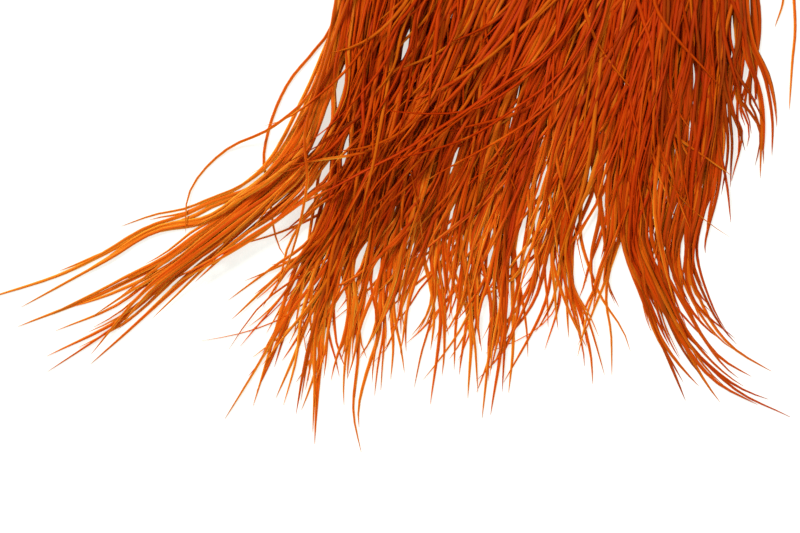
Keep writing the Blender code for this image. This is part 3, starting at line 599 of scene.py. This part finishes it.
def parted(route):
    # The route, bent aside wherever it would lie in a parting and not straight across it.
    for start, end, half in partings:
        start, end = np.array(start) * mm, np.array(end) * mm
        axis = (end - start) / 2
        reach = np.linalg.norm(axis)
        axis /= reach
        across = np.array([-axis[1], axis[0]])
        off = route - (start + end) / 2
        aside = off @ across
        edge = (4 * half + 2) * mm  # as far out as this, feathers move over
        window = np.clip(1 - (off @ axis / reach) ** 2, 0, 1) ** 1.5
        near = (window > 0) & (np.abs(aside) < edge)
        if near.sum() < 3 or np.ptp(aside[near]) > 1.2 * edge:
            continue
        side = 1 if np.average(aside[near], weights=window[near]) > 0 else -1
        away = aside * side
        gap = half * mm * window
        shift = np.where(away > 0, gap * (1 - away / edge), (gap - away) * (1 + away / edge))
        shift = np.where(near, shift * np.minimum(1, window * 4), 0)
        route = route + (shift * side)[:, None] * across
    return np.stack([np.convolve(np.pad(route[:, k], 2, mode="reflect", reflect_type="odd"),
                                 smoothing, mode="valid") for k in (0, 1)], axis=1)


def ofLock(row, value, number, usual):
    return row.get(value, {}).get(number, usual)


def lockFeathers(node, lock, row, number, chance):
    # The routes of one lock's feathers, with the heights they keep above and their widths.
    width, body, wayA, wayB = lock
    toA, toB = (np.array(tips[0]) - np.array(body[-1]) for tips in (wayA, wayB))
    sideOfA = 1 if toB[0] * toA[1] > toB[1] * toA[0] else -1
    halves = []
    for side, tips in ((sideOfA, wayA), (-sideOfA, wayB)):
        # each half of the lock keeps to its side, then narrows onto the way to its tip
        way = smoothWay(body + tips)
        share = np.arange(len(way)) / len(smoothWay(body))
        half = width * mm / 2 * np.clip(0.55 + share * 1.6, 0, 1)
        beyond = np.clip((share - 1) / (share[-1] - 1), 0, 1)
        centre = side * half / 2 * (0.5 + 0.5 * np.cos(math.pi * np.minimum(1, 2 * beyond)))
        halves.append((way, leftOf(way), centre, half / 2 * (1 - 0.8 * beyond),
                       solidUnderside(node, way)))
    count = ofLock(row, "sparse", number, round(row["perWidth"] * width))
    reach = ofLock(row, "reaches", number, row["reach"])
    loose = ofLock(row, "calm", number, 1)
    inside, beyondLock = lay["lanes"]
    made = []
    for k in range(count):
        way, sides, centre, room, under = halves[k % 2]
        rank = k // 2
        shorter = reach * (rank + chance.uniform(-0.5, 0.5)) / (count / 2)
        tipShare = 1 if rank == 0 else lay["nextLongest"] - shorter
        lane = chance.uniform(-1, 1) * (1 if chance.uniform() < inside else beyondLock)
        wide = chance.uniform(*feather["widths"]) * row.get("slim", 1)
        strand = loose
        kind = chance.uniform() if rank > 0 else 1
        if kind < lay["thin"]:
            wide *= lay["thinWidth"]
        if kind < lay["thin"] + lay["wild"]:
            strand *= lay["wildness"]
        route = featherRoute(way, sides, centre, room, tipShare, lane, chance, strand)
        floorShare = np.linspace(0, tipShare, lay["stations"])
        floorHeights = np.interp(floorShare * (len(way) - 1), np.arange(len(way)), under)
        made.append((parted(route), floorHeights, wide))
    # they are laid in any order
    return [made[k] for k in chance.permutation(count)]


def joined(name, laid, faces, uv, material):
    # One mesh of many bent feathers, from arrays.
    count = len(laid)
    size = len(laid[0]["points"])
    points = np.vstack([one["points"] for one in laid])
    counts = np.array([len(face) for face in faces])
    flat = np.concatenate([np.array(face) for face in faces])
    mesh = bpy.data.meshes.new(name)
    mesh.vertices.add(len(points))
    mesh.vertices.foreach_set("co", points.astype(np.float32).ravel())
    mesh.loops.add(len(flat) * count)
    mesh.loops.foreach_set("vertex_index", np.concatenate([flat + k * size for k in range(count)]))
    starts = np.concatenate([[0], np.cumsum(counts)[:-1]])
    mesh.polygons.add(len(faces) * count)
    mesh.polygons.foreach_set(
        "loop_start", np.concatenate([starts + k * len(flat) for k in range(count)])
    )
    mesh.update(calc_edges=True)
    # each feather has its own strip of the pattern's square
    strips = np.tile(uv, (count, 1))
    which = np.repeat(np.arange(count), len(uv))
    strips[:, 1] = (which + 0.01 + 0.98 * strips[:, 1]) / count
    layer = mesh.uv_layers.new(name="OFBake")
    layer.data.foreach_set("uv", strips.astype(np.float32).ravel())
    for attribute in ("along", "across", "tint", "cover"):
        values = np.concatenate([one[attribute] for one in laid]).astype(np.float32)
        mesh.attributes.new(attribute, "FLOAT", "POINT").data.foreach_set("value", values)
    mesh.shade_smooth()
    mesh.set_sharp_from_angle(angle=math.radians(60))
    mesh.validate()
    mesh.materials.append(material)
    thing = bpy.data.objects.new(name, mesh)
    bpy.context.scene.collection.objects.link(thing)
    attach(thing, "root")
    return thing


def coverAt(points):
    # How many feathers lie over each other at each point, from 0 for a single one to 1.
    return np.clip((softCounts[tilesAt(points)] - 1) / lay["deepPile"], 0, 1)


def blurred(grid, times):
    for _ in range(times):
        for axis in (0, 1):
            grid = (np.roll(grid, 1, axis) + 2 * grid + np.roll(grid, -1, axis)) / 4
    return grid


skin = {
    "halfWidth": 50 * mm,
    "halfLength": 42 * mm,
    "frontNarrowing": 0.16,
    "squareness": 3.0,
    "scallop": 0.7 * mm,
    "scallops": 7,
    "edge": 0.9 * mm,  # thickness
    "middle": 1.8 * mm,
    "wrinkle": 0.16 * mm,
    "cuts": (72, 62),
    "roughness": 0.55,
    "shine": 0.3,
    "dyeScale": 85.0,
    "follicleScale": 330.0,
    "creaseScale": 420.0,
    "flesh": (0.46, 0.185, 0.055),
    "stain": (0.33, 0.085, 0.014),
}


def skinEdge(angle):
    # The trimmed outline: between an ellipse and a rectangle, narrower to the front.
    power = 2 / skin["squareness"]
    across = np.sign(np.cos(angle)) * np.abs(np.cos(angle)) ** power * skin["halfWidth"]
    along = np.sign(np.sin(angle)) * np.abs(np.sin(angle)) ** power * skin["halfLength"]
    across = across * (1 - skin["frontNarrowing"] * np.maximum(0, along / skin["halfLength"]))
    swell = 1 + skin["scallop"] / skin["halfLength"] * np.sin(skin["scallops"] * angle + 0.6)
    return np.stack([across * swell, along * swell], axis=-1)


def modelSkin():
    # A grid extruded to a slab, then drawn out to the trimmed outline and wrinkled on top.
    bpy.ops.object.select_all(action="DESELECT")
    bpy.ops.mesh.primitive_grid_add(
        x_subdivisions=skin["cuts"][0], y_subdivisions=skin["cuts"][1], size=2, location=(0, 0, 0)
    )
    patch = bpy.context.object
    bpy.ops.object.mode_set(mode="EDIT")
    bpy.ops.mesh.select_all(action="SELECT")
    bpy.ops.mesh.extrude_region_move(TRANSFORM_OT_translate={"value": (0, 0, skin["edge"])})
    bpy.ops.mesh.select_all(action="SELECT")
    bpy.ops.mesh.normals_make_consistent(inside=False)
    bpy.ops.object.mode_set(mode="OBJECT")
    points = places(patch.data)
    share = np.abs(points[:, :2]).max(axis=1)
    angle = np.arctan2(points[:, 1], points[:, 0])
    onTop = points[:, 2] > skin["edge"] / 2
    out = skinEdge(angle) * share[:, None]
    x, y = out[:, 0] / mm, out[:, 1] / mm
    wrinkles = np.sin(0.31 * x + 0.9 * np.sin(0.11 * y))
    wrinkles *= np.sin(0.23 * y + 1.2 * np.sin(0.07 * x))
    wrinkles += 0.5 * np.sin(0.83 * x + 0.31 * y)
    wrinkles += 0.4 * np.sin(0.9 * y - 0.47 * x)
    # thicker in the middle, with wrinkles that flatten towards the edge
    rise = (skin["middle"] - skin["edge"]) * (1 - share ** 2)
    rise += skin["wrinkle"] * wrinkles * np.clip((1 - share) * 6, 0.25, 1)
    points[:, :2] = out
    points[onTop, 2] += rise[onTop]
    points[onTop & (share > 0.999), :2] *= 0.994  # the cut leans in
    patch.data.vertices.foreach_set("co", points.ravel())
    patch.data.update()
    patch.data.shade_smooth()
    patch.data.set_sharp_from_angle(angle=math.radians(50))
    patch.name = patch.data.name = "skin_patch_dried"
    return patch


def setInputs(owner, node, inputs):
    # Gives each socket its value, or links the output that is given for it.
    for socket, value in inputs.items():
        if isinstance(value, bpy.types.NodeSocket):
            owner.node_tree.links.new(value, node.inputs[socket])
        else:
            node.inputs[socket].default_value = value


def addNode(owner, kind, place, inputs, **settings):
    node = owner.node_tree.nodes.new("ShaderNode" + kind)
    node.location = place
    for name, value in settings.items():
        setattr(node, name, value)
    setInputs(owner, node, inputs)
    return node


def addRamp(owner, place, share, stops):
    ramp = addNode(owner, "ValToRGB", place, {"Fac": share})
    elements = ramp.color_ramp.elements
    while len(elements) < len(stops):
        elements.new(0.5)
    for element, (position, colour) in zip(elements, stops):
        element.position = position
        element.color = (*colour, 1)
    return ramp.outputs["Color"]


def addMix(owner, place, share, one, other, blend="MULTIPLY"):
    mix = addNode(owner, "Mix", place, {"Factor": share, "A": one, "B": other},
                  data_type="RGBA", blend_type=blend)
    return mix.outputs["Result"]


def addRange(owner, place, value, fromEnds, toEnds):
    ends = {"Value": value, "From Min": fromEnds[0], "From Max": fromEnds[1],
            "To Min": toEnds[0], "To Max": toEnds[1]}
    return addNode(owner, "MapRange", place, ends).outputs["Result"]


def addMath(owner, place, operation, *values):
    return addNode(owner, "Math", place, dict(enumerate(values)), operation=operation).outputs[0]


def newMaterial(name):
    material = bpy.data.materials.new(name)
    material.use_nodes = True
    return material, material.node_tree.nodes["Principled BSDF"]


def skinMaterial():
    material, shader = newMaterial("driedSkin")
    where = addNode(material, "TexCoord", (-1100, 0), {}).outputs["Object"]

    # uneven dye
    patches = addNode(material, "TexNoise", (-850, 200),
                      {"Vector": where, "Scale": skin["dyeScale"], "Detail": 5.0})
    dye = addRamp(material, (-600, 200), patches.outputs["Fac"],
                  [(0.3, skin["stain"]), (0.7, skin["flesh"])])

    # follicles, in which the quills stand
    follicles = addNode(material, "TexVoronoi", (-850, -150),
                        {"Vector": where, "Scale": skin["follicleScale"]})
    rim = addRamp(material, (-600, -150), follicles.outputs["Distance"],
                  [(0.05, (0.35, 0.3, 0.3)), (0.22, (1, 1, 1))])
    dotted = addMix(material, (-300, 150), 0.8, dye, rim)

    creases = addNode(material, "TexNoise", (-850, -450),
                      {"Vector": where, "Scale": skin["creaseScale"], "Detail": 4.0})
    relief = addNode(material, "Bump", (-300, -350), {
        "Strength": 0.5, "Distance": 0.3 * mm, "Height": creases.outputs["Fac"]})
    pits = addNode(material, "Bump", (-100, -250), {
        "Strength": 0.6, "Distance": 0.25 * mm, "Height": rim,
        "Normal": relief.outputs["Normal"]}, invert=True)
    setInputs(material, shader, {
        "Roughness": skin["roughness"], "Specular IOR Level": skin["shine"],
        "Base Color": dotted, "Normal": pits.outputs["Normal"]})
    return material


# The feathers' dye, with the painted glow and painted shade laid over it.
hackleDyeAndPaintedLight = {
    "roughness": 0.48,
    "shine": 0.03,
    "tints": [  # from the deepest dye to golden
        (0.00, (0.29, 0.045, 0.0020)),
        (0.14, (0.38, 0.036, 0.0010)),
        (0.30, (0.48, 0.036, 0.0006)),
        (0.50, (0.54, 0.054, 0.0008)),
        (0.72, (0.57, 0.083, 0.0013)),
        (1.00, (0.60, 0.150, 0.0045)),
    ],
    "streakScales": {"along": 22.0, "across": 5.0, "tint": 173.0},
    "streaks": [(0.25, (0.62, 0.52, 0.5)), (0.5, (1, 1, 1)), (0.8, (1.18, 1.3, 1.3))],
    # painted shade, from the ridge of a feather to its edge
    "margins": [(0.5, (1, 1, 1)), (0.8, (0.84, 0.55, 0.5)), (1, (0.58, 0.18, 0.15))],
    # painted light, from the ridge of a feather to its edge: the glow of the pale ground through
    # thin feathers
    "paintedGlow": [(0.5, (0.74, 0.086, 0.0018)), (1, (0.92, 0.32, 0.018))],
    # what the painted glow is multiplied by, from the deepest dye to golden
    "glowTints": [(0, (0.6, 0.6, 0.5)), (0.3, (0.80, 0.76, 0.75)), (0.6, (1, 1.05, 1.1)),
                  (1, (1.12, 2.0, 3.6))],
    "thinFrom": 0.80,  # of the feather's length
    "thinBy": 0.42,
    "glowShare": 0.7,  # painted glow, on a feather with nothing over or under it
    "glowCover": 0.23,  # the cover at which no glow is painted
    "crowded": (0.05, 0.4),  # the cover at which the painted shade of the edges begins, and is full
}


def hackleMaterial():
    material, shader = newMaterial("dyedHackle")
    read = {}
    for k, name in enumerate(("along", "across", "tint", "cover")):
        read[name] = addNode(material, "Attribute", (-1200, 300 - 200 * k), {},
                             attribute_name=name).outputs["Fac"]
    dye = addRamp(material, (-900, 300), read["tint"], hackleDyeAndPaintedLight["tints"])

    # fine streaks that run with the barbs, others on each feather
    spots = [addMath(material, (-950, 50 - 150 * k), "MULTIPLY", read[name], scale)
             for k, (name, scale) in enumerate(hackleDyeAndPaintedLight["streakScales"].items())]
    where = addNode(material, "CombineXYZ", (-780, -50), dict(enumerate(spots)))
    streaks = addNode(material, "TexNoise", (-700, -200), {
        "Vector": where.outputs[0], "Scale": 1.0, "Detail": 3.0}).outputs["Fac"]
    streakShade = addRamp(material, (-500, -200), streaks, hackleDyeAndPaintedLight["streaks"])
    streaked = addMix(material, (-250, 200), 1.0, dye, streakShade)

    # the folded margins lie in the shade of the ridge wherever feathers lie close
    fromRidge = addMath(material, (-700, -450), "ABSOLUTE", read["across"])
    marginShade = addRamp(material, (-500, -450), fromRidge, hackleDyeAndPaintedLight["margins"])
    crowded = addRange(material, (-500, 450), read["cover"], hackleDyeAndPaintedLight["crowded"], (0, 1))
    shaded = addMix(material, (-50, 200), crowded, streaked, marginShade)

    # painted light: the open margins and thin spots are painted paler, as if the pale ground
    # glowed through them
    glowShare = addRange(material, (-250, 450), read["cover"], (0, hackleDyeAndPaintedLight["glowCover"]),
                         (hackleDyeAndPaintedLight["glowShare"], 0))
    paintedGlow = addRamp(material, (-500, -700), fromRidge, hackleDyeAndPaintedLight["paintedGlow"])
    # towards the tips the dye is thinner, and the painted glow more golden
    thinDyeInPaintedGlow = addRange(material, (-900, -900), read["along"], (hackleDyeAndPaintedLight["thinFrom"], 1),
                       (0, hackleDyeAndPaintedLight["thinBy"]))
    goldenAt = addMath(material, (-700, -900), "ADD", read["tint"], thinDyeInPaintedGlow)
    golden = addRamp(material, (-500, -900), goldenAt, hackleDyeAndPaintedLight["glowTints"])
    tinted = addMix(material, (-250, -700), 1.0, paintedGlow, golden)
    glowing = addMix(material, (150, 200), glowShare, shaded, tinted, "MIX")

    relief = addNode(material, "Bump", (150, -200), {
        "Strength": 0.35, "Distance": 0.15 * mm, "Height": streaks})
    setInputs(material, shader, {
        "Roughness": hackleDyeAndPaintedLight["roughness"], "Specular IOR Level": hackleDyeAndPaintedLight["shine"],
        "Base Color": glowing, "Normal": relief.outputs["Normal"]})
    return material


dyedHackle = hackleMaterial()
templates, featherFaces, featherUv = featherTemplates()
print("feather modelled:", len(featherFaces), "faces")

skinPatch = modelSkin()
skinPatch.data.materials.append(skinMaterial())
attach(skinPatch, "root")
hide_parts("skin_patch")
print("skin modelled:", len(skinPatch.data.polygons), "faces")

# the skin is what the first feathers lie on
spokes = skinEdge(np.linspace(0, 2 * math.pi, 900))[:, None] * np.linspace(0, 1, 240)[:, None]
tileHeights[tilesAt(spokes)] = skin["middle"]

laidPieces = []


def layLocks(row):
    # Every second lock first, then those between, which lie a little higher.
    for k in sorted(range(len(row["locks"])), key=lambda k: k % 2):
        single = len(row["locks"]) == 1
        node = f"{row['name']}_lock" if single else f"{row['name']}_lock_{k + 1:02d}"
        # draws of its own, which a change to another lock leaves alone
        chance = np.random.default_rng(1000 * len(row["name"]) + 17 * k + len(row["locks"]))
        laid = []
        for route, floorHeights, width in lockFeathers(node, row["locks"][k], row, k + 1, chance):
            template = templates[chance.integers(len(templates))]
            one = laidFeather(template, route, width, chance, floorHeights)
            usual = ofLock(row, "tints", k + 1, row["tint"])
            tint = np.clip(chance.normal(usual, lay["tintSpread"]), 0.02, 1)
            kind = chance.uniform()
            if kind < lay["golden"][0]:
                tint = chance.uniform(*lay["golden"][1:])
            elif kind > 1 - lay["dark"][0]:
                tint = chance.uniform(*lay["dark"][1:])
            one["tint"] = np.full(len(one["points"]), tint)
            # the least cover and the share that counts, for the painted glow and painted edge
            # shade
            one["shade"] = ofLock(row, "shade", k + 1, 0)
            one["open"] = ofLock(row, "open", k + 1, 1)
            laid.append(one)
        laidPieces.append((node, row["slot"], laid))
    print(row["name"], "laid")


# The short feathers of the front margin, whose roots lie before those of the front row.
margin = {
    "count": 150,
    "from": -30,  # degrees around the patch, over the front to the other side
    "to": 210,
    "depth": (0.74, 0.95),  # share of the way from the middle of the patch to its edge
    "length": (24, 44),  # millimetres
    "widths": (1.1, 1.9),
    "lean": 0.12,
    "curl": 0.05,
    "tint": (0.42, 0.2),  # the middle and the spread
}


def layMargin():
    # Short feathers around the sides and the front of the skin, over the roots of the others.
    chance = np.random.default_rng(300)
    roots = {f"{row['name']}_lock_{k + 1:02d}": lock[1][:2] for row in (
        rearRow, secondRow, middleRow, fourthRow, frontRow) for k, lock in enumerate(row["locks"])}
    for angle in np.radians(np.linspace(margin["from"], margin["to"], margin["count"])):
        root = skinEdge(angle) / mm * chance.uniform(*margin["depth"])
        node = min(roots, key=lambda name: math.dist(roots[name][0], root))
        laid = next(one for name, _, one in laidPieces if name == node)
        ahead = np.array(roots[node][1], float) - np.array(roots[node][0], float)
        ahead /= np.linalg.norm(ahead)
        aside = np.array([-ahead[1], ahead[0]])
        length = chance.uniform(*margin["length"])
        lean, curl = chance.normal(0, margin["lean"]), chance.normal(0, margin["curl"])
        points = [root + length * share * (ahead + aside * (lean + curl * 4 * share))
                  for share in (0, 0.33, 0.66, 1)]
        way = smoothWay(points)
        route = pointsOn(way, np.linspace(0, len(way) - 1, lay["stations"]))
        template = templates[chance.integers(len(templates))]
        one = laidFeather(template, route, chance.uniform(*margin["widths"]), chance,
                          np.zeros(lay["stations"]))
        tint = np.clip(chance.normal(*margin["tint"]), 0.02, 0.98)
        one["tint"] = np.full(len(one["points"]), tint)
        laid.append(one)
    print("margin laid")


def layStrays(strays):
    for k, (node, points) in enumerate(strays.items()):
        chance = np.random.default_rng(77 + k + len(strays))
        way = smoothWay(points)
        under = solidUnderside(node, way)
        index = np.linspace(0, len(way) - 1, lay["stations"])
        floorHeights = np.interp(index, np.arange(len(way)), under)
        width, tint = lay["stray"]
        laid = [laidFeather(templates[k % len(templates)], pointsOn(way, index), width, chance,
                            floorHeights)]
        laid[0]["tint"] = np.full(len(laid[0]["points"]), tint)
        laidPieces.append((node, "stray_feathers", laid))
    print("strays laid:", ", ".join(strays))


layStrays(lowStrays)
for row in (rearRow, secondRow, middleRow, rightEdge, fourthRow, frontRow, crossing):
    layLocks(row)
layMargin()
layStrays(topStrays)
softCounts = blurred(tileCounts, 2)

for node, slot, laid in laidPieces:
    for one in laid:
        # the cover sets how much painted glow and painted edge shade each feather gets
        cover = coverAt(one["points"]) * one.get("open", 1)
        one["cover"] = np.maximum(cover, one.get("shade", 0))
    piece = joined(node + "_hackles", laid, featherFaces, featherUv, dyedHackle)
    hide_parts(node)
print("pieces made:", len(laidPieces), "feathers:", sum(len(laid) for _, _, laid in laidPieces))

studio = {
    "middle": (-0.06, -0.15, 0),  # what the lamps aim at
    "floorSize": 6,
    "floorDrop": 0.2 * mm,
    "floorColour": (0.44, 0.46, 0.44),
    "floorRoughness": 0.9,
    "floorGlow": ((0.98, 1, 0.95), 0.68),
    "around": 0.40,  # the even light from all round
    "backing": 1.0,  # and how bright it is where it is seen itself, as white as the floor
    "lamps": {  # place, size and power
        "key": ((-0.9, 0.7, 1.3), (0.6, 0.6), 26),
        "fill": ((0.9, -0.6, 1.5), (1.2, 1.2), 8),
    },
    "lens": 100,
    "cameraPlace": (-0.06125, -0.1948, 0.778),
}
white = (1, 1, 1, 1)
bpy.ops.object.select_all(action="DESELECT")
middle = Vector(studio["middle"])
bpy.ops.mesh.primitive_plane_add(
    size=studio["floorSize"], location=(middle.x, middle.y, -studio["floorDrop"])
)
floor = bpy.context.object
floor.name = "floor"
floorPaint, floorShader = newMaterial("paleFloor")
setInputs(floorPaint, floorShader, {
    "Base Color": (*studio["floorColour"], 1), "Roughness": studio["floorRoughness"],
    "Emission Color": (*studio["floorGlow"][0], 1), "Emission Strength": studio["floorGlow"][1]})
floor.data.materials.append(floorPaint)

world = bpy.data.worlds.new("studio")
world.use_nodes = True
seen = addNode(world, "LightPath", (-500, 0), {}).outputs["Is Camera Ray"]
bright = addRange(world, (-250, 0), seen, (0, 1), (studio["around"], studio["backing"]))
setInputs(world, world.node_tree.nodes["Background"], {"Color": white, "Strength": bright})
bpy.context.scene.world = world
bpy.context.scene.view_settings.view_transform = "Standard"

for name, (place, size, power) in studio["lamps"].items():
    lamp = bpy.data.lights.new(name, "AREA")
    lamp.shape = "RECTANGLE"
    lamp.size, lamp.size_y = size
    lamp.energy = power
    softbox = bpy.data.objects.new(name, lamp)
    bpy.context.scene.collection.objects.link(softbox)
    softbox.location = place
    softbox.rotation_euler = (middle - Vector(place)).to_track_quat("-Z", "Y").to_euler()

camera = bpy.data.objects.new("camera", bpy.data.cameras.new("camera"))
camera.data.lens = studio["lens"]
camera.location = studio["cameraPlace"]
bpy.context.scene.collection.objects.link(camera)
bpy.context.scene.camera = camera
print("floor, lamps and camera in place")
